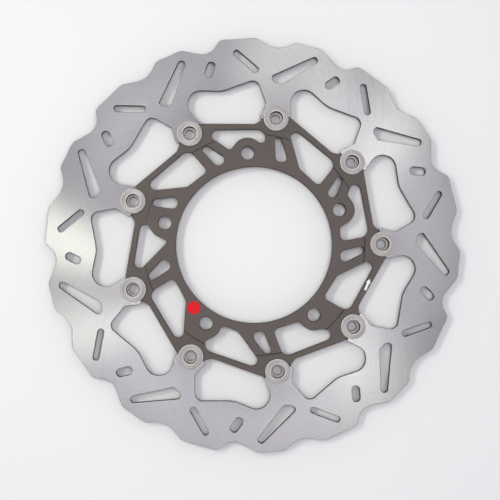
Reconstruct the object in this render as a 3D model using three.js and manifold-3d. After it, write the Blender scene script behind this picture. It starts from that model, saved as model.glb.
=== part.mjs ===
// Floating front brake disc of a motorcycle: a wave-edged braking ring hung on a slim carrier by
// nine bobbins, each held at the back by a wave spring, a washer and a retaining ring.
// Millimetres. +Z is the side that faces away from the wheel. The origin lies on the wheel's axis,
// half way through the braking ring.
import * as THREE from 'three';
import { mergeVertices } from 'three/addons/utils/BufferGeometryUtils.js';
import Module from 'manifold-3d';

// Driving dimensions of the braking ring. The arms reach from the bobbins' centres to the band.
const armLength = 28;
const bandWidth = 32.7;
const ringThickness = 5;
const shallowWaveDepth = 8.1;
const shallowWaveFillet = 18;
const deepWaveDepth = 9.9;
const deepWaveFillet = 12.5;
const lobeFillet = 1;
const ringWindowFillet = 11;
const slotFillet = 3;

// Driving dimensions of the carrier. The bolt inset and the reach run from the edge of the bore to
// the centres of the bolt holes and of the bobbins, and the setback from the bobbins' flanges to
// the foot of the step.
const boreDiameter = 121.2;
const boltInset = 10.6;
const carrierReach = 38.7;
const hubBandWidth = 6.6;
const hubThickness = 7;
const stepSetback = 3.65;
const stepFlank = 0.8;
const boltHoleDiameter = 10.2;
const boltBossDiameter = 23.8;
const bossClearance = 0.3;
const carrierWindowFillet = 6;
const carrierEdgeFillet = 7;

// Driving dimensions of the joint between ring and carrier
const partingGap = 0.9;
const lugOverhang = 2.1;
const lugFillet = 0.7;
const armShoulderFillet = 2.1;

// Driving dimensions of a bobbin
const flangeDiameter = 19.3;
const flangeThickness = 1.8;
const flangeChamfer = 0.5;
const shankDiameter = 14;
const counterboreDiameter = 11;
const counterboreDepth = 7;
const bobbinHoleDiameter = 7;
const shankEndLength = 0.6;
const grooveDepth = 0.7;

// Driving dimensions of the spring, washer and retaining ring behind a bobbin
const springDiameter = 19;
const springStripThickness = 0.35;
const springHeight = 0.9;
const washerDiameter = 19.4;
const washerThickness = 0.8;
const retainerDiameter = 17;
const retainerThickness = 0.9;
const retainerEndRadius = 0.6;

// Driving dimensions of the round sticker on the hub. Its inset runs from the edge of the bore.
const stickerDiameter = 10;
const stickerThickness = 0.25;
const stickerInset = 6.9;

// Clearances, the overrun of cuts, how far a facet may stray from its arc on the plates and on the
// small retaining rings, and the distance under which vertices are merged
const shankClearance = 0.3;
const seatGap = 0.3;
const retainerPlay = 0.1;
const cutOverrun = 2;
const facetSag = 0.1;
const smallFacetSag = 0.12;
const weldDistance = 0.0001;

// Angles in degrees, counted anticlockwise from +X where the front is looked at
const firstBobbinAngle = 0.3;
const firstBoltAngle = 22.3;
const partingTilt = 13.8;
const stickerAngle = 226;
const retainerOpeningAngle = 76;

// Counts
const bobbinCount = 9;
const boltCount = 5;
const springWaves = 3;
const facetsPerSpringWave = 6;
const bobbinFacets = 16;
const washerFacets = 16;
const stepFacets = 48;
const stickerFacets = 20;

// Sizes that follow from the ones above
const boreRadius = boreDiameter / 2;
const windowInnerRadius = boreRadius + hubBandWidth;
const stickerCentreRadius = boreRadius + stickerInset;
const boltCircleRadius = boreRadius + boltInset;
const bobbinCircleRadius = boreRadius + carrierReach;
const bandInnerRadius = bobbinCircleRadius + armLength;
const discRadius = bandInnerRadius + bandWidth;
const flangeRadius = flangeDiameter / 2;
const stepFootRadius = bobbinCircleRadius - flangeRadius - stepSetback;
const stepTopRadius = stepFootRadius - stepFlank;
const shankRadius = shankDiameter / 2;
const seatRadius = shankRadius + shankClearance;
const lugReach = flangeRadius + lugOverhang;
const plateFront = ringThickness / 2;
const plateBack = -plateFront;
const hubFront = hubThickness / 2;
const flangeBack = plateFront + seatGap;
const flangeFront = flangeBack + flangeThickness;
const springFront = plateBack - seatGap;
const washerFront = springFront - springHeight - seatGap;
const washerBack = washerFront - washerThickness;
const retainerFront = washerBack - retainerPlay;
const retainerBack = retainerFront - retainerThickness;
const grooveBack = retainerBack - retainerPlay;
const shankEnd = grooveBack - shankEndLength;
const grooveRadius = shankRadius - grooveDepth;
const pitchAngle = THREE.MathUtils.degToRad(360 / bobbinCount);
const boltPitchAngle = THREE.MathUtils.degToRad(360 / boltCount);

// Outer edge over one pitch. Each row is a lobe and the hollow that follows it clockwise:
// start and end of the lobe and the bottom of the hollow, as shares of the pitch.
const waveShares = [
  { lobeStart: 0.045, lobeEnd: 0.246, hollow: 0.4215, deep: true },
  { lobeStart: 0.512, lobeEnd: 0.775, hollow: 0.93, deep: false },
];

// Tables of corners: share of the pitch clockwise from the bobbin, share of the way from the inner
// to the outer radius of the part that the outline lies in, and share of that outline's fillet.
// The ring's inner edge from the right of one arm to the left of the next, from the bobbins
// to the braking band
const ringWindowShares = [
  [0.088, 0.716, 0.97],
  [0.213, 1.054, 0.97],
  [0.455, 0.794, 2.1],
  [0.781, 1.061, 0.55],
  [0.8775, 0.385, 0.36],
];
const longSlotShares = [
  [-0.092, 0.145, 0.73],
  [0.207, 0.826, 1],
  [0.244, 0.713, 1],
  [-0.001, -0.042, 0.9],
  [-0.096, 0.012, 1.33],
];
const shortSlotShares = [
  [-0.375, 0.776, 0.83],
  [-0.195, 0.27, 0.83],
  [-0.23, 0.149, 0.83],
  [-0.4105, 0.668, 0.83],
];
const ovalSlotShares = [
  [0.337, 0.267, 1.07],
  [0.4045, 0.592, 1.07],
  [0.4605, 0.494, 1.07],
  [0.396, 0.161, 1.07],
];

// Carrier windows and slots, from the edge of the hub band to the bobbins. The names say
// where the bolt boss cuts into the window.
const windowTip = [0.121, 0.966, 0.71];
const windowShoulder = [0.892, 0.706, 1.03];
const windowFoot = [0.95, 0.005, 0.64];
const windowHeel = [0.524, 0.04, 1.03];
const boss = 'boss';
const openWindowShares = [windowTip, windowShoulder, windowFoot, windowHeel];
const bossLeftWindowShares = [
  windowTip,
  windowShoulder,
  windowFoot,
  [0.722, 0.001, 0.58],
  boss,
  [0.302, 0.447, 0.77],
];
const bossBelowWindowShares = [
  windowTip,
  windowShoulder,
  [0.924, 0.271, 0.58],
  boss,
  [0.395, 0.248, 0.51],
];
const bossRightWindowShares = [
  windowTip,
  [0.742, 0.689, 0.64],
  [0.787, 0.521, 0.51],
  boss,
  [0.563, -0.012, 0.64],
  windowHeel,
];
const bossFarRightWindowShares = [
  windowTip,
  [0.869, 0.701, 0.9],
  [0.943, 0.512, 0.51],
  boss,
  [0.8, -0.004, 0.64],
  windowHeel,
];
const bossFarLeftWindowShares = [
  windowTip,
  windowShoulder,
  windowFoot,
  [0.497, 0.048, 0.77],
  boss,
  [0.287, 0.51, 0.51],
];
const slimSlotShares = [
  [0.021, 0.554, 0.36],
  [0.113, 0.562, 0.45],
  [0.333, 0.045, 0.64],
  [0.117, -0.019, 0.64],
];
const shortSlimSlotShares = [
  [0.021, 0.554, 0.36],
  [0.113, 0.562, 0.45],
  [0.29, 0.1, 0.58],
  [0.12, 0.055, 0.58],
];

// Openings of the carrier beside each bobbin, clockwise of it, in the bobbins' order
const carrierSectors = [
  { window: openWindowShares, slot: slimSlotShares },
  { window: bossLeftWindowShares, slot: shortSlimSlotShares },
  { window: openWindowShares, slot: slimSlotShares },
  { window: bossBelowWindowShares, slot: slimSlotShares },
  { window: openWindowShares, slot: slimSlotShares },
  { window: bossRightWindowShares, slot: slimSlotShares },
  { window: openWindowShares },
  { window: bossFarRightWindowShares, slot: slimSlotShares },
  { window: bossFarLeftWindowShares },
];

// The shoulder of a ring arm and the hollow of the carrier's edge beside a bobbin, along and
// across the parting line, as shares of the lug's reach
const armShoulderShare = { along: -1.02, across: 0.26 };
const carrierHollowShare = { along: -1.37, across: -0.26 };

// Largest share of an edge that fillets may use up
const filletRoomShare = 0.96;

function bobbinAngle(index) {
  return THREE.MathUtils.degToRad(firstBobbinAngle) + index * pitchAngle;
}

function boltAngle(index) {
  return THREE.MathUtils.degToRad(firstBoltAngle) + index * boltPitchAngle;
}

function polarPoint(radius, angle) {
  return new THREE.Vector2(radius * Math.cos(angle), radius * Math.sin(angle));
}

// Number of straight steps that an arc needs to stay within the sag, four at least in a full turn
function arcSteps(radius, sweep, sag) {
  const widestStep = 2 * Math.acos(Math.max(1 - sag / radius, Math.SQRT1_2));
  return Math.max(1, Math.ceil(Math.abs(sweep) / widestStep));
}

// Points of an arc, both ends included
function arcPoints(centre, radius, startAngle, sweep, sag = facetSag) {
  const steps = arcSteps(radius, sweep, sag);
  return Array.from({ length: steps + 1 }, (_, step) =>
    polarPoint(radius, startAngle + (sweep * step) / steps).add(centre));
}

function corner(point, fillet = 0) {
  return { point, fillet };
}

// Half of the angle at a corner and how far its fillet reaches along the two edges
function cornerShape(corners, index) {
  const { point, fillet } = corners[index];
  const toPrevious = corners.at(index - 1).point.clone().sub(point);
  const toNext = corners[(index + 1) % corners.length].point.clone().sub(point);
  const between = Math.abs(toPrevious.angleTo(toNext));
  const half = between / 2;
  return { toPrevious, toNext, half, reach: fillet / Math.tan(half) };
}

// Share of its own radius that each fillet keeps so that two neighbours fit on their edge
function filletLimit(shapes, index) {
  const own = shapes[index];
  const previous = shapes.at(index - 1);
  const next = shapes[(index + 1) % shapes.length];
  const before = own.toPrevious.length() * filletRoomShare / (own.reach + previous.reach);
  const after = own.toNext.length() * filletRoomShare / (own.reach + next.reach);
  return Math.min(1, before, after);
}

function filletPoints(point, shape, radius) {
  const towardsPrevious = shape.toPrevious.clone().normalize();
  const towardsNext = shape.toNext.clone().normalize();
  const middle = towardsPrevious.clone().add(towardsNext).normalize();
  const centre = point.clone().addScaledVector(middle, radius / Math.sin(shape.half));
  const start = point.clone().addScaledVector(towardsPrevious, radius / Math.tan(shape.half));
  const side = Math.sign(towardsPrevious.cross(towardsNext));
  const sweep = side * (Math.PI - 2 * shape.half);
  return arcPoints(centre, radius, start.sub(centre).angle(), -sweep);
}

// Closed outline through the corners, with an arc at each one that has a fillet
function roundedOutline(corners) {
  const shapes = corners.map((_, index) => cornerShape(corners, index));
  return corners.flatMap(({ point, fillet }, index) => {
    if (fillet === 0) {
      return [point];
    }
    return filletPoints(point, shapes[index], fillet * filletLimit(shapes, index));
  });
}

// Corner of an outline that a table of shares gives, clockwise of the bobbin at baseAngle
function shareCorner(shares, baseAngle, innerRadius, outerRadius, fillet) {
  const [pitchShare, radialShare, filletShare] = shares;
  const radius = THREE.MathUtils.lerp(innerRadius, outerRadius, radialShare);
  return corner(polarPoint(radius, baseAngle - pitchShare * pitchAngle), filletShare * fillet);
}

// Direction of the parting line between ring and carrier at a bobbin
function partingAngle(baseAngle) {
  return baseAngle - Math.PI / 2 + THREE.MathUtils.degToRad(partingTilt);
}

// Place beside a bobbin, measured along and across the parting line
function lugPoint(baseAngle, along, across) {
  const lineAngle = partingAngle(baseAngle);
  return polarPoint(bobbinCircleRadius, baseAngle)
    .add(polarPoint(along, lineAngle))
    .add(polarPoint(across, lineAngle + Math.PI / 2));
}

// Edge of a lug that faces its partner, clockwise across the bobbin: a straight stretch, the
// half-round seat of the shank and another straight stretch. side is 1 on the ring and -1 on
// the carrier.
function lugEdge(baseAngle, side) {
  const centre = polarPoint(bobbinCircleRadius, baseAngle);
  const cut = Math.asin(partingGap / 2 / seatRadius);
  const seatStart = partingAngle(baseAngle) + side * (Math.PI - cut);
  const seatSweep = side * (2 * cut - Math.PI);
  const seat = arcPoints(centre, seatRadius, seatStart, seatSweep);
  return [
    corner(lugPoint(baseAngle, -lugReach, side * partingGap / 2), lugFillet),
    ...seat.map((point) => corner(point)),
    corner(lugPoint(baseAngle, lugReach, side * partingGap / 2), lugFillet),
  ];
}

// Flat shape with holes. An extrusion turns the holes to suit an outer edge that runs anticlockwise.
function outlineShape(points, holes) {
  const shape = new THREE.Shape(THREE.ShapeUtils.isClockWise(points) ? points.toReversed() : points);
  shape.holes = holes.map((hole) => new THREE.Path(hole));
  return shape;
}

// Plate of the outline between two heights
function plate(shape, back, front) {
  const geometry = new THREE.ExtrudeGeometry(shape, { depth: front - back, bevelEnabled: false });
  return welded(geometry.translate(0, 0, back));
}

// Solid of revolution about Z. The profile lists [radius, height] and closes on itself.
function turned(profile, facets) {
  const points = [...profile, profile[0]].map(([radius, height]) => new THREE.Vector2(radius, height));
  return welded(new THREE.LatheGeometry(points, facets).rotateX(Math.PI / 2));
}

// Geometry with shared vertices, which makes a closed mesh of it
function welded(geometry) {
  geometry.deleteAttribute('normal');
  geometry.deleteAttribute('uv');
  return mergeVertices(geometry, weldDistance);
}

// Bobbin angles in clockwise order
function clockwiseBobbins() {
  return Array.from({ length: bobbinCount }, (_, index) => bobbinAngle(bobbinCount - index));
}

// Outer edge of the ring, clockwise: lobes on the full diameter with deep and shallow hollows between
function outerWave() {
  return clockwiseBobbins().flatMap((baseAngle) =>
    waveShares.flatMap((wave) => lobeAndHollow(baseAngle, wave)));
}

function lobeAndHollow(baseAngle, wave) {
  const lobeStart = baseAngle - wave.lobeStart * pitchAngle;
  const lobeSweep = -(wave.lobeEnd - wave.lobeStart) * pitchAngle;
  const lobe = arcPoints(new THREE.Vector2(), discRadius, lobeStart, lobeSweep)
    .map((point) => corner(point));
  lobe[0].fillet = lobeFillet;
  lobe.at(-1).fillet = lobeFillet;
  const depth = wave.deep ? deepWaveDepth : shallowWaveDepth;
  const bottom = polarPoint(discRadius - depth, baseAngle - wave.hollow * pitchAngle);
  return [...lobe, corner(bottom, wave.deep ? deepWaveFillet : shallowWaveFillet)];
}

// Inner edge of the ring from one bobbin to the next one clockwise
function ringInnerEdge(baseAngle) {
  const { along, across } = armShoulderShare;
  const shoulder = lugPoint(baseAngle - pitchAngle, along * lugReach, across * lugReach);
  return [
    ...lugEdge(baseAngle, 1),
    ...ringWindowShares.map((shares) =>
      shareCorner(shares, baseAngle, bobbinCircleRadius, bandInnerRadius, ringWindowFillet)),
    corner(shoulder, armShoulderFillet),
  ];
}

function ringSlots(baseAngle) {
  return [longSlotShares, shortSlotShares, ovalSlotShares].map((table) =>
    roundedOutline(table.map((shares) =>
      shareCorner(shares, baseAngle, bandInnerRadius, discRadius, slotFillet))));
}

function brakingRing() {
  const outer = roundedOutline(outerWave());
  const inner = roundedOutline(clockwiseBobbins().flatMap(ringInnerEdge));
  const slots = clockwiseBobbins().flatMap(ringSlots);
  return plate(outlineShape(outer, [inner, ...slots]), plateBack, plateFront);
}

// Outer edge of the carrier from one bobbin to the next one clockwise
function carrierOuterEdge(baseAngle) {
  const { along, across } = carrierHollowShare;
  const hollow = lugPoint(baseAngle - pitchAngle, along * lugReach, across * lugReach);
  return [...lugEdge(baseAngle, -1), corner(hollow, carrierEdgeFillet)];
}

function boltCentre(index) {
  return polarPoint(boltCircleRadius, boltAngle(index));
}

// Centre of the bolt hole whose angle is nearest to the one given
function nearestBolt(angle) {
  const pastFirst = angle - THREE.MathUtils.degToRad(firstBoltAngle);
  return boltCentre(Math.round(pastFirst / boltPitchAngle));
}

// Moves a window's corner straight out from a bolt hole until it lies clear of the boss
function keepClear(bolt, point) {
  const away = point.clone().sub(bolt);
  const least = boltBossDiameter / 2 + bossClearance;
  point.copy(bolt).add(away.setLength(Math.max(away.length(), least)));
}

// Arc of a bolt boss between the lines that touch it from two corners of a window
function bossArc(centre, from, to) {
  const radius = boltBossDiameter / 2;
  const touchFrom = touchAngle(centre, radius, from, -1);
  const touchTo = touchAngle(centre, radius, to, 1);
  const sweep = THREE.MathUtils.euclideanModulo(touchTo - touchFrom, 2 * Math.PI);
  return arcPoints(centre, radius, touchFrom, sweep);
}

// Angle at which the line from a point touches a circle, on the chosen side
function touchAngle(centre, radius, point, side) {
  const away = point.clone().sub(centre);
  return away.angle() - side * Math.acos(Math.min(1, radius / away.length()));
}

// Outline of a carrier window, clockwise, going round the bolt boss where its table says so
function windowOutline(table, baseAngle) {
  const place = (shares) =>
    shareCorner(shares, baseAngle, windowInnerRadius, bobbinCircleRadius, carrierWindowFillet);
  const corners = table.filter((shares) => shares !== boss).map(place);
  const bossIndex = table.indexOf(boss);
  if (bossIndex > 0) {
    const from = corners[bossIndex - 1];
    const to = corners[bossIndex % corners.length];
    const bolt = nearestBolt(from.point.clone().add(to.point).angle());
    corners.forEach(({ point }) => keepClear(bolt, point));
    const arc = bossArc(bolt, from.point, to.point).map((point) => corner(point));
    corners.splice(bossIndex, 0, ...arc);
  }
  return roundedOutline(corners);
}

function carrierOpenings() {
  return carrierSectors.flatMap(({ window, slot }, index) => {
    const tables = slot ? [window, slot] : [window];
    return tables.map((table) => windowOutline(table, bobbinAngle(index)));
  });
}

function circle(centre, radius) {
  return arcPoints(centre, radius, 0, 2 * Math.PI).slice(1);
}

function boltHoles() {
  return Array.from({ length: boltCount }, (_, index) =>
    circle(boltCentre(index), boltHoleDiameter / 2));
}

// Turned cut that takes one face of the carrier down to the ring's thickness outside the hub
function stepCut(side) {
  const outerRadius = bobbinCircleRadius + lugReach + cutOverrun;
  const profile = [
    [stepFootRadius, side * plateFront],
    [outerRadius, side * plateFront],
    [outerRadius, side * (hubFront + cutOverrun)],
    [stepTopRadius, side * (hubFront + cutOverrun)],
    [stepTopRadius, side * hubFront],
  ];
  return turned(side > 0 ? profile : profile.reverse(), stepFacets);
}

const wasm = await Module();
wasm.setup();

function toSolid(geometry) {
  const vertProperties = new Float32Array(geometry.getAttribute('position').array);
  const triVerts = new Uint32Array(geometry.getIndex().array);
  return new wasm.Manifold(new wasm.Mesh({ numProp: 3, vertProperties, triVerts }));
}

function toGeometry(solid) {
  const mesh = solid.getMesh();
  const geometry = new THREE.BufferGeometry();
  geometry.setAttribute('position', new THREE.BufferAttribute(mesh.vertProperties, mesh.numProp));
  geometry.setIndex(new THREE.BufferAttribute(mesh.triVerts, 1));
  return geometry;
}

function carrier() {
  const outer = roundedOutline(clockwiseBobbins().flatMap(carrierOuterEdge));
  const bore = circle(new THREE.Vector2(), boreRadius);
  const openings = [bore, ...boltHoles(), ...carrierOpenings()];
  const blank = plate(outlineShape(outer, openings), -hubFront, hubFront);
  return toGeometry(toSolid(blank).subtract(toSolid(stepCut(1))).subtract(toSolid(stepCut(-1))));
}

function bobbin() {
  const counterboreFloor = flangeFront - counterboreDepth;
  const holeRadius = bobbinHoleDiameter / 2;
  const counterboreRadius = counterboreDiameter / 2;
  return turned([
    [holeRadius, shankEnd],
    [shankRadius, shankEnd],
    [shankRadius, grooveBack],
    [grooveRadius, grooveBack],
    [grooveRadius, washerBack],
    [shankRadius, washerBack],
    [shankRadius, flangeBack],
    [flangeRadius, flangeBack],
    [flangeRadius, flangeFront - flangeChamfer],
    [flangeRadius - flangeChamfer, flangeFront],
    [counterboreRadius, flangeFront],
    [counterboreRadius, counterboreFloor],
    [holeRadius, counterboreFloor],
  ], bobbinFacets);
}

// Flat strip bent into a ring that rises and falls in even waves
function waveSpring() {
  const facets = springWaves * facetsPerSpringWave;
  const swing = (springHeight - springStripThickness) / 2;
  const middle = springFront - springHeight / 2;
  const innerRadius = shankRadius + shankClearance;
  const outerRadius = springDiameter / 2;
  const positions = [];
  for (let facet = 0; facet < facets; facet += 1) {
    const angle = (2 * Math.PI * facet) / facets;
    const height = middle + swing * Math.cos(springWaves * angle);
    const back = height - springStripThickness / 2;
    const front = height + springStripThickness / 2;
    const inner = polarPoint(innerRadius, angle);
    const outer = polarPoint(outerRadius, angle);
    positions.push(inner.x, inner.y, back, outer.x, outer.y, back);
    positions.push(outer.x, outer.y, front, inner.x, inner.y, front);
  }
  return ringMesh(positions, facets);
}

// Closed ring mesh through equal sections, given one after the other anticlockwise
function ringMesh(positions, sections) {
  const sides = positions.length / 3 / sections;
  const indices = [];
  for (let section = 0; section < sections; section += 1) {
    const following = (section + 1) % sections;
    for (let side = 0; side < sides; side += 1) {
      const turn = (side + 1) % sides;
      const a = section * sides + side;
      const b = section * sides + turn;
      const c = following * sides + turn;
      const d = following * sides + side;
      indices.push(a, d, c, a, c, b);
    }
  }
  const geometry = new THREE.BufferGeometry();
  geometry.setAttribute('position', new THREE.Float32BufferAttribute(positions, 3));
  geometry.setIndex(indices);
  return geometry;
}

function backWasher() {
  const innerRadius = shankRadius + shankClearance;
  const outerRadius = washerDiameter / 2;
  return turned([
    [innerRadius, washerBack],
    [outerRadius, washerBack],
    [outerRadius, washerFront],
    [innerRadius, washerFront],
  ], washerFacets);
}

// Open ring that snaps into the shank's groove. Its opening faces along -X of its own frame.
function retainingRing() {
  const innerRadius = grooveRadius + shankClearance;
  const outerRadius = retainerDiameter / 2;
  const halfBand = (outerRadius - innerRadius) / 2;
  const halfOpening = THREE.MathUtils.degToRad(retainerOpeningAngle / 2);
  const arc = 2 * (Math.PI - halfOpening);
  const start = -Math.PI + halfOpening;
  const centre = new THREE.Vector2();
  const endFillet = Math.min(retainerEndRadius, halfBand);
  const outer = arcPoints(centre, outerRadius, start, arc, smallFacetSag)
    .map((point) => corner(point));
  const inner = arcPoints(centre, innerRadius, start + arc, -arc, smallFacetSag)
    .map((point) => corner(point));
  outer[0].fillet = endFillet;
  outer.at(-1).fillet = endFillet;
  inner[0].fillet = endFillet;
  inner.at(-1).fillet = endFillet;
  return plate(outlineShape(roundedOutline([...outer, ...inner]), []), retainerBack, retainerFront);
}

function sticker() {
  const radius = stickerDiameter / 2;
  const disc = new THREE.CylinderGeometry(radius, radius, stickerThickness, stickerFacets);
  return welded(disc.rotateX(Math.PI / 2).translate(0, 0, hubFront + stickerThickness / 2));
}

// Materials
function groundStainless() {
  return new THREE.MeshStandardMaterial({ color: 0xc9c9cb, roughness: 0.32, metalness: 1 });
}

function bronzeAnodised() {
  return new THREE.MeshStandardMaterial({ color: 0x5c534e, roughness: 0.55, metalness: 0.6 });
}

function nickelPlated() {
  return new THREE.MeshStandardMaterial({ color: 0xbdb5ae, roughness: 0.3, metalness: 1 });
}

function springSteel() {
  return new THREE.MeshStandardMaterial({ color: 0x8f9092, roughness: 0.4, metalness: 1 });
}

function redVinyl() {
  return new THREE.MeshStandardMaterial({ color: 0xd8322f, roughness: 0.4, metalness: 0 });
}

function part(name, geometry, material) {
  const mesh = new THREE.Mesh(geometry, material);
  mesh.name = name;
  return mesh;
}

// A bobbin and what holds it at the back, at its place on the bobbin circle
function bobbinSet(index) {
  const number = index + 1;
  const set = new THREE.Group();
  set.add(
    part(`bobbin_${number}`, bobbin(), nickelPlated()),
    part(`wave_spring_${number}`, waveSpring(), springSteel()),
    part(`back_washer_${number}`, backWasher(), springSteel()),
    part(`retaining_ring_${number}`, retainingRing(), springSteel()),
  );
  const place = polarPoint(bobbinCircleRadius, bobbinAngle(index));
  set.position.set(place.x, place.y, 0);
  set.rotation.z = bobbinAngle(index);
  return set;
}

function stickerOnHub() {
  const dot = part('round_sticker', sticker(), redVinyl());
  const place = polarPoint(stickerCentreRadius, THREE.MathUtils.degToRad(stickerAngle));
  dot.position.set(place.x, place.y, 0);
  return dot;
}

const disc = new THREE.Group();
disc.add(
  part('braking_ring', brakingRing(), groundStainless()),
  part('carrier', carrier(), bronzeAnodised()),
  stickerOnHub(),
);
for (let index = 0; index < bobbinCount; index += 1) {
  disc.add(bobbinSet(index));
}

export default disc;
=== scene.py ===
"""Looks of a floating motorcycle brake disc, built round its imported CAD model.

The ring and the carrier get smooth outlines and broken edges, the bobbins and what holds them at
the back are turned and bent at full fineness, and every surface gets a material of its own.
Lengths are in metres, +Z is the side that faces the camera. A flat outline is an array of complex
numbers, x + iy, with the material on its left.
"""

import math

import bmesh
import bpy
import numpy as np
from mathutils import Matrix, Vector
from mathutils.geometry import delaunay_2d_cdt


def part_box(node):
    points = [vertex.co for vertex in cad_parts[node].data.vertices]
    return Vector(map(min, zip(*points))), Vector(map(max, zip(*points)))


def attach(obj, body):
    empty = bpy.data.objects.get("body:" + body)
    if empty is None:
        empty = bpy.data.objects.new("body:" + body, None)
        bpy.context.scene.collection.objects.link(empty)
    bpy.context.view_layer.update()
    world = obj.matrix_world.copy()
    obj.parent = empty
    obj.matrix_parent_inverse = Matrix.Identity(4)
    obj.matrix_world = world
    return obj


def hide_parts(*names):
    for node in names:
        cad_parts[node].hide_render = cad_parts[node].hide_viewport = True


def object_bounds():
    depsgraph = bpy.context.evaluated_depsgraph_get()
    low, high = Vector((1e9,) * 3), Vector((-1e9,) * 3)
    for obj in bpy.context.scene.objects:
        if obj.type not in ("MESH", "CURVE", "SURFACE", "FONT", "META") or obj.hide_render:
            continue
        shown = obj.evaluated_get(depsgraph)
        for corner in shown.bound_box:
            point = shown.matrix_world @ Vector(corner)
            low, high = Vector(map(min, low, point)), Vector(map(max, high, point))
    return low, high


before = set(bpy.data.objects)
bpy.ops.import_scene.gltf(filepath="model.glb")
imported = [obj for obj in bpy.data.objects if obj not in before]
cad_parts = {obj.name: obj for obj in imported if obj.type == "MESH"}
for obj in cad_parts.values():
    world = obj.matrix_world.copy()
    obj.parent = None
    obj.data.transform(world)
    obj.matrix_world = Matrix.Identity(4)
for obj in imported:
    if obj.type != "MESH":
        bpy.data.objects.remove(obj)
cad_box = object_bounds()

MM = 0.001

# Camera: the slopes of its line of sight, the point that it looks at, its distance from it and
# its lens for a 36 mm sensor
SIGHT_SLOPE_X = 0.0398
SIGHT_SLOPE_Y = 0.0166
CAMERA_AIM = Vector((-3.4 * MM, -4.03 * MM, -0.2 * MM))
CAMERA_DISTANCE = 750 * MM
CAMERA_LENS = 69.64

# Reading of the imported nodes: vertices closer than this are one, a face belongs to a plate's front
# when its normal's Z is above this value, and points of a turned node whose angles differ by less
# than this lie in one section
WELD = 0.001 * MM
FRONT_NORMAL = 0.3
SAME_SECTION = math.radians(3)

# A face of a plate whose normal's Z is below this value counts as a broken edge. Nearly all of the
# flank of the carrier's step does too, so it has the material of the broken edges.
BROKEN_NORMAL = 0.95

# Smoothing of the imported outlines: bends under the first are no corner at all, and over the second
# they are sharp. Chords whose lengths differ by less than the share belong to one arc, and the
# smooth outline turns by no more than FINE_TURN a step.
STRAIGHT_BEND = math.radians(0.5)
SHARP_BEND = math.radians(55)
EQUAL_CHORDS_SHARE = 0.06
FINE_TURN = math.radians(5)

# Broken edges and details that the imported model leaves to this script. The step of the carrier
# falls along STEP_CIRCLES circles, and one more circle on each side keeps the faces beside it flat.
# AXIS_HOLE is the radius of the pinhole in the sticker's middle, which closed_ring_mesh needs.
RING_RIM_CHAMFER = 0.25 * MM
RING_EDGE_CHAMFER = 0.2 * MM
CARRIER_EDGE_CHAMFER = 0.45 * MM
SNAP_RING_CHAMFER = 0.1 * MM
STEP_FLANK = 0.8 * MM
STEP_ROUNDING = 0.15 * MM
STEP_CIRCLES = 7
STEP_HOLD = 0.1 * MM
STICKER_EDGE = 0.08 * MM
AXIS_HOLE = 0.001 * MM
SPRING_STRIP = 0.35 * MM
SPRING_WAVES = 3
TURNED_SECTIONS = 96
CIRCLE_POINTS = 240
SHARP_SHADING = math.radians(30)

# Turned pieces: the rounding of a corner takes no more than EASED_SHARE of its shorter side. A
# bobbin's rim is what slopes, by more than RIM_SLOPE, within RIM_DEPTH of its front, and gets a
# painted highlight; the edge of its hole, HOLE_EDGE wide, gets painted shade.
TURNED_EDGE = 0.5 * MM
EASED_SHARE = 0.42
RIM_DEPTH = 0.8 * MM
RIM_SLOPE = 0.2
HOLE_EDGE = 0.45 * MM

# Material slots of a plate and of a turned piece. A bobbin's bore and outer walls get painted
# shade, its rim a painted highlight.
FACE_SLOT, EDGE_SLOT, OPENING_SLOT, OUTER_SLOT, FLANK_SLOT = range(5)
PLAIN_SLOT, BORE_SHADE_SLOT, LEDGE_SLOT, RIM_HIGHLIGHT_SLOT, SIDE_SHADE_SLOT = range(5)
SLOT_COUNT = 5

# White arrow that shows the direction of rotation, on a spoke of the carrier
ARROW_CENTRE_RADIUS = 93 * MM
ARROW_CENTRE_ANGLE = math.radians(-19.4)
ARROW_HEADING = math.radians(66.7)
ARROW_LENGTH = 9.5 * MM
ARROW_HEAD_LENGTH = 3.4 * MM
ARROW_HEAD_WIDTH = 3.9 * MM
ARROW_SHAFT_WIDTH = 1.8 * MM
PAINT_THICKNESS = 0.03 * MM

BOBBIN_COUNT = 9

# Nearly all of a noise lies between these values
NOISE_LOW = 0.3
NOISE_HIGH = 0.7

# The ring's arms get painted shade: their colour is darker at one radius and rises to the band's
# at the other, which tones down their highlight
ARM_RADIUS = 105 * MM
BAND_RADIUS = 138 * MM
ARM_SHADE = 0.84

# Studio: half the side of the floor, and soft square lights that shine on the disc from one
# distance, each with its tilt from the vertical, its direction, its power in watts and its colour
FLOOR_HALF = 9.0
LIGHT_DISTANCE = 1.3
LIGHT_SIZE = 0.22
SUNNY = (0.98, 1, 0.89)
LILAC = (0.945, 0.93, 1)
LIGHTS = [
    ("key_light", 36, 150, 3.63, SUNNY),
    ("left_light", 36, 180, 2.03, SUNNY),
    ("right_light", 36, 60, 1.1, SUNNY),
    ("near_light", 24, 300, 0.72, SUNNY),
    ("first_top_light", 12, 315, 1.83, LILAC),
    ("second_top_light", 12, 45, 1.67, LILAC),
    ("third_top_light", 12, 135, 1.23, LILAC),
    ("fourth_top_light", 12, 225, 0.53, LILAC),
]

# Weaker light from all round, stronger below the lower height than above the upper one. Heights are
# the sine of the angle above the horizon.
WORLD_COLOUR = (0.98, 0.95, 1.06, 1)
LOW_HEIGHT = 0.26
HIGH_HEIGHT = 0.72
LOW_STRENGTH = 0.8
HIGH_STRENGTH = 0.24


# Flat outlines

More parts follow.
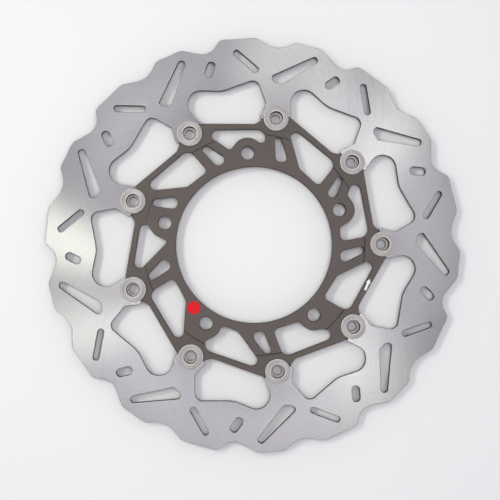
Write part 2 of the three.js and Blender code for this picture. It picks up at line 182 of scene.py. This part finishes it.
def front_outlines(node):
    """Outlines of a flat node's front, the outermost first."""
    solid = bmesh.new()
    solid.from_mesh(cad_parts[node].data)
    bmesh.ops.remove_doubles(solid, verts=solid.verts, dist=WELD)
    solid.normal_update()
    following = {}
    for face in solid.faces:
        if face.normal.z <= FRONT_NORMAL:
            continue
        for loop in face.loops:
            if loop.link_loop_radial_next.face.normal.z <= FRONT_NORMAL:
                following[loop.vert] = loop.link_loop_next.vert
    outlines = []
    while following:
        vertex = next(iter(following))
        points = []
        while vertex in following:
            points.append(complex(vertex.co.x, vertex.co.y))
            vertex = following.pop(vertex)
        outlines.append(np.array(points))
    solid.free()
    return sorted(outlines, key=lambda outline: -np.ptp(outline.real))


def chords(outline):
    """The straight lines that end and that start at each point."""
    after = np.roll(outline, -1) - outline
    return np.roll(after, 1), after


def without_straight_points(outline):
    before, after = chords(outline)
    return outline[np.abs(np.angle(after / before)) > STRAIGHT_BEND]


def tangents(outline):
    """Direction of the smooth outline at each point, or nan where it has a sharp corner."""
    before, after = chords(outline)
    size_before = np.abs(before)
    size_after = np.abs(after)
    on_arc = np.isclose(size_before, size_after, rtol=EQUAL_CHORDS_SHARE)
    arc_before = np.roll(on_arc, 1)
    arc_after = np.roll(on_arc, -1)
    straight_before = np.where(arc_before == arc_after, size_before > size_after, arc_after)
    beside_straight = np.where(straight_before, before, after)
    through_three = before * size_after ** 2 + after * size_before ** 2
    tangent = np.where(on_arc, through_three, beside_straight)
    tangent[np.abs(np.angle(after / before)) > SHARP_BEND] = np.nan
    return tangent


def bends_from_chord(chord, leaving, arriving):
    """Angles from the chord to the tangents at its ends. An unknown one mirrors the other."""
    out = np.angle(leaving / chord)
    into = np.angle(arriving / chord)
    if np.isnan(out) and np.isnan(into):
        return 0.0, 0.0
    if np.isnan(out):
        return -into, into
    if np.isnan(into):
        return out, -out
    return out, into


def smooth(outline):
    """The outline with its facets turned back into arcs, each chord as a cubic curve."""
    outline = without_straight_points(outline)
    leaving = tangents(outline)
    rows = zip(outline, np.roll(outline, -1), leaving, np.roll(leaving, -1))
    points = []
    for start, end, leave, arrive in rows:
        chord = end - start
        out, into = bends_from_chord(chord, leave, arrive)
        turning = into - out
        reach = chord / (3 * math.cos(turning / 4) ** 2)
        first = start + reach * np.exp(1j * out)
        second = end - reach * np.exp(1j * into)
        steps = max(1, math.ceil(abs(turning) / FINE_TURN))
        t = np.arange(steps) / steps
        points.append(start * (1 - t) ** 3 + 3 * first * t * (1 - t) ** 2
                      + 3 * second * t ** 2 * (1 - t) + end * t ** 3)
    return np.concatenate(points)


def inset(outline, distance):
    """The outline moved into the material."""
    before, after = chords(outline)
    behind = before / np.abs(before)
    ahead = after / np.abs(after)
    return outline + 1j * distance * (behind + ahead) / (1 + (behind * ahead.conj()).real)


def circle(radius):
    return radius * np.exp(2j * np.pi * np.arange(CIRCLE_POINTS) / CIRCLE_POINTS)


def enclosed(points, outlines):
    """Which points lie in the material: an odd number of edges lies to the right of them."""
    inside = np.zeros(len(points), bool)
    for outline in outlines:
        for start, end in zip(outline, np.roll(outline, -1)):
            spans = (start.imag > points.imag) != (end.imag > points.imag)
            left = ((points - start) * np.conj(end - start)).imag > 0
            inside ^= spans & (left == (end.imag > start.imag))
    return inside


# Meshes

def triangulated(loops):
    """Triangulates the plane round closed loops: points, triangles, and each point's loop or -1."""
    flat = np.concatenate(loops) / MM
    loop_of = np.repeat(np.arange(len(loops)), [len(loop) for loop in loops])
    edges = []
    first = 0
    for loop in loops:
        numbers = list(range(first, first + len(loop)))
        edges += zip(numbers, numbers[1:] + numbers[:1])
        first += len(loop)
    vectors = [Vector((point.real, point.imag)) for point in flat]
    corners, _, triangles, origins, _, _ = delaunay_2d_cdt(vectors, edges, [], 0, WELD)
    points = np.array([complex(*corner) for corner in corners]) * MM
    sources = np.array([loop_of[origin[0]] if origin else -1 for origin in origins])
    return points, np.array(triangles), sources


def rim_edges(triangles):
    """Edges that only one triangle has, with the triangle on their left."""
    sides = np.concatenate([triangles[:, [0, 1]], triangles[:, [1, 2]], triangles[:, [2, 0]]])
    opposite = set(map(tuple, sides[:, ::-1]))
    return np.array([side for side in map(tuple, sides) if side not in opposite])


def plate_mesh(name, outlines, chamfers, height, middle=0.0, circles=()):
    """Closed plate with broken edges. height gives its front above the middle by the distance from
    the axis, and the back mirrors the front. Level faces, sloped ones such as broken edges, walls of
    openings and the outer wall have one slot each."""
    loops = [*outlines, *map(inset, outlines, chamfers), *map(circle, circles)]
    points, triangles, sources = triangulated(loops)
    centres = points[triangles].mean(axis=1)
    triangles = triangles[enclosed(centres, outlines)]
    used, triangles = np.unique(triangles, return_inverse=True)
    triangles = triangles.reshape(-1, 3)
    points, sources = points[used], sources[used]
    rim = rim_edges(triangles)
    drop = np.zeros(len(points))
    drop[rim[:, 0]] = chamfers[-1]
    for number, chamfer in enumerate(chamfers):
        drop[sources == number] = chamfer
    level = height(np.abs(points)) - drop
    front = np.column_stack([points.real, points.imag, middle + level])
    back = np.column_stack([points.real, points.imag, middle - level])
    start, end = rim.T
    walls = np.column_stack([start + len(points), end + len(points), end, start])
    faces = [*triangles.tolist(), *(triangles[:, ::-1] + len(points)).tolist(), *walls.tolist()]
    mesh = bpy.data.meshes.new(name)
    mesh.from_pydata(np.concatenate([front, back]).tolist(), [], faces)
    first, second, third = (front[triangles[:, corner]] for corner in range(3))
    normals = np.cross(second - first, third - first)
    broken = normals[:, 2] < BROKEN_NORMAL * np.linalg.norm(normals, axis=1)
    fronts = np.where(broken, EDGE_SLOT, FACE_SLOT)
    sides = np.where(sources[start] == 0, OUTER_SLOT, OPENING_SLOT)
    zones = np.concatenate([fronts, fronts, sides])
    mesh.polygons.foreach_set("material_index", zones)
    return shaded(mesh)


def shaded(mesh):
    """Smooth shading with creases at real edges."""
    mesh.shade_smooth()
    mesh.set_sharp_from_angle(angle=SHARP_SHADING)
    mesh.validate()
    return mesh


def closed_ring_mesh(name, sections):
    """Closed mesh through equal sections round the Z axis: an array of section, point and x, y, z."""
    count, size = sections.shape[:2]
    section, point = np.meshgrid(np.arange(count), np.arange(size), indexing="ij")
    following = (section + 1) % count
    turn = (point + 1) % size
    corners = [section * size + point, following * size + point,
               following * size + turn, section * size + turn]
    faces = np.stack(corners, axis=-1).reshape(-1, 4)
    mesh = bpy.data.meshes.new(name)
    mesh.from_pydata(sections.reshape(-1, 3).tolist(), [], faces.tolist())
    return shaded(mesh)


def sections_of(profile, lift=None):
    """Sections of a solid of revolution. The profile holds radius + i height, anticlockwise, and
    lift raises it by the angle round the axis."""
    angles = 2 * np.pi * np.arange(TURNED_SECTIONS) / TURNED_SECTIONS
    raised = np.zeros(TURNED_SECTIONS) if lift is None else lift(angles)
    x = np.outer(np.cos(angles), profile.real)
    y = np.outer(np.sin(angles), profile.real)
    z = profile.imag + raised[:, None]
    return np.stack([x, y, z], axis=-1)


def eased(profile, distance):
    """The profile with every corner rounded off, less where its sides are short. Points beside the
    roundings keep the shading of the straight stretches between them flat."""
    before, after = chords(profile)
    size_before = np.abs(before)
    size_after = np.abs(after)
    reach = np.minimum(distance, EASED_SHARE * np.minimum(size_before, size_after))
    behind = reach * before / size_before
    ahead = reach * after / size_after
    start = profile - behind
    end = profile + ahead
    middle = profile / 2 + (start + end) / 4
    points = [start - behind / 2, start, middle, end, end + ahead / 2]
    return np.stack(points, axis=1).ravel()


def meridian(node, centre):
    """Profile of a turned node as radius + i height, anticlockwise, read from one of its sections."""
    solid = bmesh.new()
    solid.from_mesh(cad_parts[node].data)
    bmesh.ops.remove_doubles(solid, verts=solid.verts, dist=WELD)
    solid.verts.ensure_lookup_table()
    places = {vertex: complex(vertex.co.x, vertex.co.y) - centre for vertex in solid.verts}
    reference = places[solid.verts[0]]
    section = {vertex for vertex, place in places.items()
               if abs(np.angle(place / reference)) < SAME_SECTION}
    vertex = solid.verts[0]
    profile = []
    while vertex:
        profile.append(complex(abs(places[vertex]), vertex.co.z))
        section.remove(vertex)
        beside = (edge.other_vert(vertex) for edge in vertex.link_edges)
        vertex = next((other for other in beside if other in section), None)
    solid.free()
    profile = np.array(profile)
    area = (profile.conj() * np.roll(profile, -1)).imag.sum()
    return profile if area > 0 else profile[::-1]


# Materials

def add_node(tree, kind, inputs, **settings):
    """Adds a shader node. inputs gives sockets a value or the output of another node."""
    node = tree.nodes.new(kind)
    for name, value in settings.items():
        setattr(node, name, value)
    for key, value in inputs.items():
        if isinstance(value, bpy.types.NodeSocket):
            tree.links.new(value, node.inputs[key])
        else:
            node.inputs[key].default_value = value
    return node


def calculate(tree, operation, *values):
    return add_node(tree, "ShaderNodeMath", dict(enumerate(values)), operation=operation).outputs[0]


def map_range(tree, value, before, after):
    """The value, moved from one range to another and kept within it."""
    inputs = {"Value": value, "From Min": before[0], "From Max": before[1],
              "To Min": after[0], "To Max": after[1]}
    return add_node(tree, "ShaderNodeMapRange", inputs).outputs["Result"]


def in_range(tree, value, low, high):
    """The value of a noise, spread from low to high."""
    return map_range(tree, value, (NOISE_LOW, NOISE_HIGH), (low, high))


def noise(tree, place, scale, detail=2.0):
    inputs = {"Vector": place, "Scale": scale, "Detail": detail}
    return add_node(tree, "ShaderNodeTexNoise", inputs).outputs["Fac"]


def new_material(name, **sockets):
    """A material with one shader. sockets gives its even values, with _ for a blank in a name."""
    material = bpy.data.materials.new(name)
    material.use_nodes = True
    tree = material.node_tree
    shader = tree.nodes["Principled BSDF"]
    for socket, value in sockets.items():
        shader.inputs[socket.replace("_", " ")].default_value = value
    return material, tree, shader


def object_place(tree):
    return add_node(tree, "ShaderNodeTexCoord", {}).outputs["Object"]


def tint(tree, first, second, share, brightness):
    """Mix of two colours, made lighter or darker."""
    inputs = {"Fac": share, "Color1": first, "Color2": second}
    mix = add_node(tree, "ShaderNodeMixRGB", inputs).outputs["Color"]
    scaled = add_node(tree, "ShaderNodeVectorMath", {0: mix, "Scale": brightness}, operation="SCALE")
    return scaled.outputs["Vector"]


def connect_bump(tree, shader, height, strength, distance):
    inputs = {"Height": height, "Strength": strength, "Distance": distance}
    bump = add_node(tree, "ShaderNodeBump", inputs)
    tree.links.new(bump.outputs["Normal"], shader.inputs["Normal"])


def along_arcs(tree, across, along, fineness, length):
    """Noise in streaks that follow arcs. across and along are angles: the first is the same all the
    way along an arc, and the second runs along it."""
    x = calculate(tree, "MULTIPLY", calculate(tree, "COSINE", across), fineness)
    y = calculate(tree, "MULTIPLY", calculate(tree, "SINE", across), fineness)
    z = calculate(tree, "MULTIPLY", calculate(tree, "COSINE", along), length)
    w = calculate(tree, "MULTIPLY", calculate(tree, "SINE", along), length)
    place = add_node(tree, "ShaderNodeCombineXYZ", {"X": x, "Y": y, "Z": z}).outputs["Vector"]
    inputs = {"Vector": place, "W": w, "Scale": 1.0, "Detail": 3.0, "Roughness": 0.65}
    return add_node(tree, "ShaderNodeTexNoise", inputs, noise_dimensions="4D").outputs["Fac"]


def polar(tree, place):
    """Angle round the Z axis and distance from it."""
    parts = add_node(tree, "ShaderNodeSeparateXYZ", {"Vector": place}).outputs
    angle = calculate(tree, "ARCTAN2", parts["Y"], parts["X"])
    flat = add_node(tree, "ShaderNodeVectorMath", {0: place, 1: (1, 1, 0)}, operation="MULTIPLY")
    inputs = {0: flat.outputs["Vector"]}
    distance = add_node(tree, "ShaderNodeVectorMath", inputs, operation="LENGTH").outputs["Value"]
    return angle, distance


def ground_steel():
    """Stainless steel with the crossing arcs that its face grinding leaves. An arc at 45 degrees to
    the radius keeps the angle plus or minus the logarithm of the radius."""
    material, tree, shader = new_material("ground_steel", Metallic=1, Anisotropic=1,
                                          Anisotropic_Rotation=0.125)
    place = object_place(tree)
    angle, distance = polar(tree, place)
    climb = calculate(tree, "LOGARITHM", distance, math.e)
    outward = calculate(tree, "ADD", angle, climb)
    inward = calculate(tree, "SUBTRACT", angle, climb)
    first = along_arcs(tree, inward, outward, 110, 5)
    second = along_arcs(tree, outward, inward, 140, 6)
    patches = noise(tree, place, 28)
    share = in_range(tree, noise(tree, place, 14), -0.4, 1.4)
    streaks = add_node(tree, "ShaderNodeMixRGB", {"Fac": share, "Color1": first, "Color2": second})
    streaks = streaks.outputs["Color"]
    # Painted shade: the arms' colour darkens towards ARM_RADIUS
    shade = map_range(tree, distance, (ARM_RADIUS, BAND_RADIUS), (ARM_SHADE, 1))
    brightness = calculate(tree, "MULTIPLY", in_range(tree, streaks, 0.88, 1.12), shade)
    colour = tint(tree, (0.386, 0.386, 0.391, 1), (0.408, 0.398, 0.391, 1), patches, brightness)
    tree.links.new(colour, shader.inputs["Base Color"])
    tree.links.new(in_range(tree, streaks, 0.3, 0.42), shader.inputs["Roughness"])
    tangent = add_node(tree, "ShaderNodeTangent", {}, direction_type="RADIAL", axis="Z")
    tree.links.new(tangent.outputs["Tangent"], shader.inputs["Tangent"])
    connect_bump(tree, shader, streaks, 0.15, 0.01 * MM)
    return material


def broken_edge_shaded_steel():
    """The same steel on the broken edges, without grinding arcs and darker, as painted shade along the
    outlines.
    """
    material, tree, shader = new_material("broken_edge_shaded_steel", Metallic=1)
    place = object_place(tree)
    grain = noise(tree, place, 900)
    brightness = in_range(tree, grain, 0.9, 1.1)
    # Painted shade: the edge colour is about half the face's
    colour = tint(tree, (0.24, 0.235, 0.24, 1), (0.19, 0.185, 0.19, 1), grain, brightness)
    tree.links.new(colour, shader.inputs["Base Color"])
    tree.links.new(in_range(tree, grain, 0.3, 0.45), shader.inputs["Roughness"])
    return material


def cut_wall(name, dark, light):
    """Walls that a laser or a mill has cut: fine lines from face to face."""
    material, tree, shader = new_material(name, Metallic=0.5)
    place = object_place(tree)
    lines = add_node(tree, "ShaderNodeVectorMath", {0: place, 1: (1, 1, 0.08)}, operation="MULTIPLY")
    grain = noise(tree, lines.outputs["Vector"], 2200, 3)
    colour = tint(tree, dark, light, grain, in_range(tree, grain, 0.85, 1.15))
    tree.links.new(colour, shader.inputs["Base Color"])
    tree.links.new(in_range(tree, grain, 0.45, 0.6), shader.inputs["Roughness"])
    connect_bump(tree, shader, grain, 0.3, 0.02 * MM)
    return material


def anodised(name, lightness):
    """Dark bronze anodised aluminium: a satin face with a fine grain and faint turning rings."""
    material, tree, shader = new_material(name, Metallic=0.55)
    place = object_place(tree)
    distance = polar(tree, place)[1]
    rings = noise(tree, add_node(tree, "ShaderNodeCombineXYZ", {"X": distance}).outputs[0], 1500)
    grain = noise(tree, place, 1800, 3)
    clouds = noise(tree, place, 30)
    fine = calculate(tree, "ADD", in_range(tree, grain, -0.05, 0.05),
                     in_range(tree, rings, -0.03, 0.03))
    brightness = calculate(tree, "ADD", fine, lightness)
    colour = tint(tree, (0.08, 0.067, 0.06, 1), (0.092, 0.079, 0.069, 1), clouds, brightness)
    tree.links.new(colour, shader.inputs["Base Color"])
    tree.links.new(in_range(tree, grain, 0.42, 0.55), shader.inputs["Roughness"])
    connect_bump(tree, shader, grain, 0.2, 0.02 * MM)
    return material


def flank_highlight_metal():
    """Brighter, shinier metal for the flank of the carrier's step: its light colour is a painted
    highlight along the step. Only its gentlest faces get it, because plate_mesh counts the steeper
    ones as broken edges."""
    material, tree, shader = new_material("flank_highlight_metal", Metallic=1)
    grain = noise(tree, object_place(tree), 1800, 3)
    # Painted highlight: far lighter than the anodised face beside it
    colour = tint(tree, (0.42, 0.37, 0.34, 1), (0.5, 0.44, 0.41, 1), grain,
                  in_range(tree, grain, 0.92, 1.08))
    tree.links.new(colour, shader.inputs["Base Color"])
    tree.links.new(in_range(tree, grain, 0.4, 0.46), shader.inputs["Roughness"])
    return material


def turned_metal(name, dark, light, ring_scale, metallic=1):
    """Metal with fine rings from the lathe round the piece's own axis."""
    material, tree, shader = new_material(name, Metallic=metallic, Anisotropic=0.5)
    place = object_place(tree)
    distance = polar(tree, place)[1]
    rings = noise(tree, add_node(tree, "ShaderNodeCombineXYZ", {"X": distance}).outputs[0],
                  ring_scale, 4)
    grain = noise(tree, place, 2500)
    colour = tint(tree, dark, light, rings, in_range(tree, grain, 0.94, 1.06))
    tree.links.new(colour, shader.inputs["Base Color"])
    tree.links.new(in_range(tree, rings, 0.42, 0.56), shader.inputs["Roughness"])
    tangent = add_node(tree, "ShaderNodeTangent", {}, direction_type="RADIAL", axis="Z")
    tree.links.new(tangent.outputs["Tangent"], shader.inputs["Tangent"])
    connect_bump(tree, shader, rings, 0.35, 0.02 * MM)
    return material


def bobbin_metals():
    """Metals of a bobbin, in the order of the turned pieces' slots: darker copies of one metal as
    painted shade in the bore and on the outer walls, a lighter one as a painted highlight on the rim.
    """
    return [
        turned_metal("bobbin_metal", (0.16, 0.152, 0.146, 1), (0.48, 0.458, 0.445, 1), 1300),
        # Painted shade in the bore, a painted highlight on the rim, painted shade on the outer walls
        turned_metal("bobbin_bore_shade", (0.07, 0.063, 0.06, 1), (0.12, 0.111, 0.105, 1), 1800),
        turned_metal("bobbin_ledge", (0.24, 0.222, 0.213, 1), (0.42, 0.39, 0.376, 1), 1300),
        turned_metal("bobbin_rim_highlight", (0.8, 0.77, 0.75, 1), (0.9, 0.87, 0.85, 1), 1300, 0.2),
        turned_metal("bobbin_wall_shade", (0.1, 0.093, 0.089, 1), (0.18, 0.168, 0.162, 1), 1300),
    ]


def spring_metals():
    """One metal in every slot."""
    metal = turned_metal("spring_steel", (0.42, 0.42, 0.43, 1), (0.52, 0.52, 0.53, 1), 1200)
    return [metal] * SLOT_COUNT


def red_vinyl():
    material, tree, shader = new_material("red_vinyl", Roughness=0.5, Specular_IOR_Level=0.1)
    place = object_place(tree)
    grain = noise(tree, place, 1500)
    colour = tint(tree, (0.68, 0.008, 0.016, 1), (0.76, 0.014, 0.024, 1), grain,
                  in_range(tree, grain, 0.97, 1.03))
    tree.links.new(colour, shader.inputs["Base Color"])
    connect_bump(tree, shader, grain, 0.1, 0.02 * MM)
    return material


def white_paint():
    material, tree, shader = new_material("white_paint", Roughness=0.55)
    place = object_place(tree)
    grain = noise(tree, place, 2600, 3)
    colour = tint(tree, (0.82, 0.81, 0.8, 1), (0.93, 0.92, 0.91, 1), grain,
                  in_range(tree, grain, 0.92, 1.04))
    tree.links.new(colour, shader.inputs["Base Color"])
    connect_bump(tree, shader, grain, 0.2, 0.02 * MM)
    return material


def floor_white():
    material, tree, shader = new_material("floor_white", Roughness=0.6)
    clouds = noise(tree, object_place(tree), 3)
    colour = tint(tree, (0.87, 0.87, 0.868, 1), (0.88, 0.88, 0.878, 1), clouds, 1.0)
    tree.links.new(colour, shader.inputs["Base Color"])
    return material


# Pieces

def show(name, mesh, materials, body, node, matrix=Matrix.Identity(4)):
    """Puts a piece in the scene in place of a node. Without a node it is an addition."""
    if not mesh.materials:
        for material in materials:
            mesh.materials.append(material)
    piece = bpy.data.objects.new(name, mesh)
    bpy.context.scene.collection.objects.link(piece)
    piece.matrix_world = matrix
    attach(piece, body)
    if node:
        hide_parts(node)
    return piece


def front_radii(node, level):
    """Distances from the Z axis of a node's vertices at a level."""
    places = (vertex.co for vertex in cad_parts[node].data.vertices)
    return [math.hypot(place.x, place.y) for place in places if abs(place.z - level) < WELD]


def braking_ring(steel, edge, wall, rim):
    outlines = [smooth(outline) for outline in front_outlines("braking_ring")]
    chamfers = [RING_RIM_CHAMFER] + [RING_EDGE_CHAMFER] * (len(outlines) - 1)
    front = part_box("braking_ring")[1].z
    mesh = plate_mesh("ring_plate", outlines, chamfers, lambda radius: np.full(len(radius), front))
    show("ring_plate", mesh, [steel, edge, wall, rim], "ring", "braking_ring")


def carrier(face, edge, wall, flank, ring_front):
    outlines = [smooth(outline) for outline in front_outlines("carrier")]
    chamfers = [CARRIER_EDGE_CHAMFER] * len(outlines)
    hub_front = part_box("carrier")[1].z
    flank_top = max(front_radii("carrier", hub_front))
    step_top = flank_top - STEP_ROUNDING
    step_foot = flank_top + STEP_FLANK + STEP_ROUNDING

    def height(radius):
        share = np.clip((radius - step_top) / (step_foot - step_top), 0, 1)
        return hub_front + (ring_front - hub_front) * share ** 2 * (3 - 2 * share)

    mesh = plate_mesh("carrier_plate", outlines, chamfers, height,
                      circles=[step_top - STEP_HOLD, *np.linspace(step_top, step_foot, STEP_CIRCLES),
                               step_foot + STEP_HOLD])
    for polygon in mesh.polygons:
        radius = math.hypot(polygon.center.x, polygon.center.y)
        if polygon.material_index == FACE_SLOT and step_top < radius < step_foot:
            polygon.material_index = FLANK_SLOT
    metals = [face, edge, wall, wall, flank]
    show("carrier_plate", mesh, metals, "carrier", "carrier")


def sticker(vinyl):
    low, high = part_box("round_sticker")
    middle = (low + high) / 2
    radius = (high.x - low.x) / 2
    thickness = high.z - low.z
    profile = np.array([AXIS_HOLE, radius, radius + 1j * thickness, AXIS_HOLE + 1j * thickness])
    mesh = closed_ring_mesh("sticker_disc", sections_of(eased(profile, STICKER_EDGE)))
    place = Matrix.Translation((middle.x, middle.y, low.z))
    show("sticker_disc", mesh, [vinyl], "carrier", "round_sticker", place)


def direction_arrow(paint, level):
    neck = ARROW_LENGTH - ARROW_HEAD_LENGTH
    half = ARROW_SHAFT_WIDTH / 2
    wing = ARROW_HEAD_WIDTH / 2
    corners = np.array([-1j * half, neck - 1j * half, neck - 1j * wing, ARROW_LENGTH,
                        neck + 1j * wing, neck + 1j * half, 1j * half])
    corners = (corners - ARROW_LENGTH / 2) * np.exp(1j * ARROW_HEADING)
    corners += ARROW_CENTRE_RADIUS * np.exp(1j * ARROW_CENTRE_ANGLE)
    half_paint = PAINT_THICKNESS / 2
    mesh = plate_mesh("direction_arrow", [corners], [half_paint],
                      lambda radius: np.full(len(radius), half_paint), middle=level + half_paint)
    show("direction_arrow", mesh, [paint] * SLOT_COUNT, "carrier", None)


def wave_spring_mesh(centre):
    """A strip bent into a ring that rises and falls in even waves."""
    low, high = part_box("wave_spring_1")
    places = [complex(vertex.co.x, vertex.co.y) - centre
              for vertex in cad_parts["wave_spring_1"].data.vertices]
    inner = min(map(abs, places))
    outer = max(map(abs, places))
    half = SPRING_STRIP / 2
    strip = np.array([inner - 1j * half, outer - 1j * half, outer + 1j * half, inner + 1j * half])
    swing = (high.z - low.z - SPRING_STRIP) / 2
    middle = (high.z + low.z) / 2
    sections = sections_of(eased(strip, half / 2),
                           lambda angle: middle + swing * np.cos(SPRING_WAVES * angle))
    return closed_ring_mesh("wave_strip", sections)


def snap_ring_mesh(centre, angle):
    low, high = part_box("retaining_ring_1")
    half = (high.z - low.z) / 2
    outlines = [smooth((outline - centre) * np.exp(-1j * angle))
                for outline in front_outlines("retaining_ring_1")]
    return plate_mesh("snap_ring", outlines, [SNAP_RING_CHAMFER] * len(outlines),
                      lambda radius: np.full(len(radius), half), middle=(high.z + low.z) / 2)


def bobbin_centre(number):
    low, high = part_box(f"bobbin_{number}")
    return complex(low.x + high.x, low.y + high.y) / 2


def turned_mesh(name, node, centre):
    """Turned piece. Walls and ledges inside its front opening, its front rim and its outer walls
    have a slot each: painted shade in the bore and on the outer walls, a painted highlight on the rim."""
    profile = eased(meridian(node, centre), TURNED_EDGE)
    front = profile.imag.max()
    opening = profile.real[profile.imag > front - WELD].min()
    inside = np.maximum(profile.real, np.roll(profile.real, -1)) < opening
    side = chords(profile)[1]
    across = np.abs(side.real)
    up = np.abs(side.imag)
    hole = profile.real.min()
    ledge = (across > up / 2) & (profile.real > hole + HOLE_EDGE)
    rim = (profile.imag > front - RIM_DEPTH) & (up > RIM_SLOPE * across) & (across > RIM_SLOPE * up)
    outer = (across <= RIM_SLOPE * up) & (profile.real > opening)
    # Bore and outer walls take darker copies of the metal as painted shade, the rim a lighter one as a
    # painted highlight
    zones = np.select([inside & ledge, inside, rim, outer],
                      [LEDGE_SLOT, BORE_SHADE_SLOT, RIM_HIGHLIGHT_SLOT, SIDE_SHADE_SLOT], PLAIN_SLOT)
    mesh = closed_ring_mesh(name, sections_of(profile))
    mesh.polygons.foreach_set("material_index", np.tile(zones, TURNED_SECTIONS))
    return mesh


def bobbin_sets(bright, spring):
    """The bobbins and what holds them at the back: one set of meshes, shown at each bobbin."""
    first = bobbin_centre(1)
    kinds = [
        ("turned_bobbin", "bobbin", turned_mesh("turned_bobbin", "bobbin_1", first), bright,
         "bobbin_metal"),
        ("washer_disc", "back_washer", turned_mesh("washer_disc", "back_washer_1", first), spring,
         "spring_steel"),
        ("wave_strip", "wave_spring", wave_spring_mesh(first), spring, "spring_steel"),
        ("snap_ring", "retaining_ring", snap_ring_mesh(first, np.angle(first)), spring,
         "spring_steel"),
    ]
    for number in range(1, BOBBIN_COUNT + 1):
        centre = bobbin_centre(number)
        place = Matrix.Translation((centre.real, centre.imag, 0))
        place @= Matrix.Rotation(np.angle(centre), 4, "Z")
        for name, node, mesh, metals, slot in kinds:
            show(f"{name}_{number}", mesh, metals, f"bobbin_{number}", f"{node}_{number}", place)


# Studio

def add_light(name, tilt, direction, power, colour):
    light = bpy.data.lights.new(name, "AREA")
    light.size = LIGHT_SIZE
    light.energy = power
    light.color = colour
    lamp = bpy.data.objects.new(name, light)
    bpy.context.scene.collection.objects.link(lamp)
    turn = Matrix.Rotation(math.radians(direction), 4, "Z") @ Matrix.Rotation(math.radians(tilt), 4, "Y")
    lamp.matrix_world = turn @ Matrix.Translation((0, 0, LIGHT_DISTANCE))


def studio():
    floor = bpy.data.meshes.new("floor")
    half = FLOOR_HALF
    level = cad_box[0].z
    floor.from_pydata([(-half, -half, level), (half, -half, level), (half, half, level),
                       (-half, half, level)], [], [(0, 1, 2, 3)])
    floor.materials.append(floor_white())
    ground = bpy.data.objects.new("floor", floor)
    bpy.context.scene.collection.objects.link(ground)
    for light in LIGHTS:
        add_light(*light)
    world = bpy.data.worlds.new("studio")
    bpy.context.scene.world = world
    world.use_nodes = True
    tree = world.node_tree
    direction = add_node(tree, "ShaderNodeTexCoord", {}).outputs["Generated"]
    height = add_node(tree, "ShaderNodeSeparateXYZ", {"Vector": direction}).outputs["Z"]
    strength = map_range(tree, height, (LOW_HEIGHT, HIGH_HEIGHT), (LOW_STRENGTH, HIGH_STRENGTH))
    background = tree.nodes["Background"]
    background.inputs["Color"].default_value = WORLD_COLOUR
    tree.links.new(strength, background.inputs["Strength"])
    bpy.context.scene.view_settings.view_transform = "Standard"


def camera():
    data = bpy.data.cameras.new("camera")
    data.lens = CAMERA_LENS
    camera = bpy.data.objects.new("camera", data)
    bpy.context.scene.collection.objects.link(camera)
    sight = Vector((SIGHT_SLOPE_X, SIGHT_SLOPE_Y, -1)).normalized()
    right = Vector((1, 0, SIGHT_SLOPE_X)).normalized()
    up = Vector((0, 1, SIGHT_SLOPE_Y)).normalized()
    turn = Matrix((right, up, -sight)).transposed()
    camera.matrix_world = Matrix.Translation(CAMERA_AIM - CAMERA_DISTANCE * sight) @ turn.to_4x4()
    bpy.context.scene.camera = camera


camera()
studio()
ring_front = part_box("braking_ring")[1].z
# Walls of the ring's openings: near black, the oxide of the laser cut plus painted shade
cut_steel_and_painted_shade = cut_wall("cut_steel_and_painted_shade", (0.018, 0.016, 0.018, 1), (0.04, 0.037, 0.04, 1))
rim_steel = cut_wall("rim_steel", (0.16, 0.157, 0.16, 1), (0.26, 0.255, 0.26, 1))
# Carrier walls: a much darker copy of its anodising, as painted shade
anodised_wall_painted_shade = cut_wall("anodised_wall_painted_shade", (0.015, 0.013, 0.012, 1), (0.03, 0.026, 0.025, 1))
braking_ring(ground_steel(), broken_edge_shaded_steel(), cut_steel_and_painted_shade, rim_steel)
# The carrier's broken edges take a lighter copy of the anodising: worn edges and a painted highlight
carrier(anodised("anodised_face", 1.0), anodised("anodised_edge_wear_and_highlight", 1.4), anodised_wall_painted_shade,
        flank_highlight_metal(), ring_front)
sticker(red_vinyl())
direction_arrow(white_paint(), ring_front)
bobbin_sets(bobbin_metals(), spring_metals())
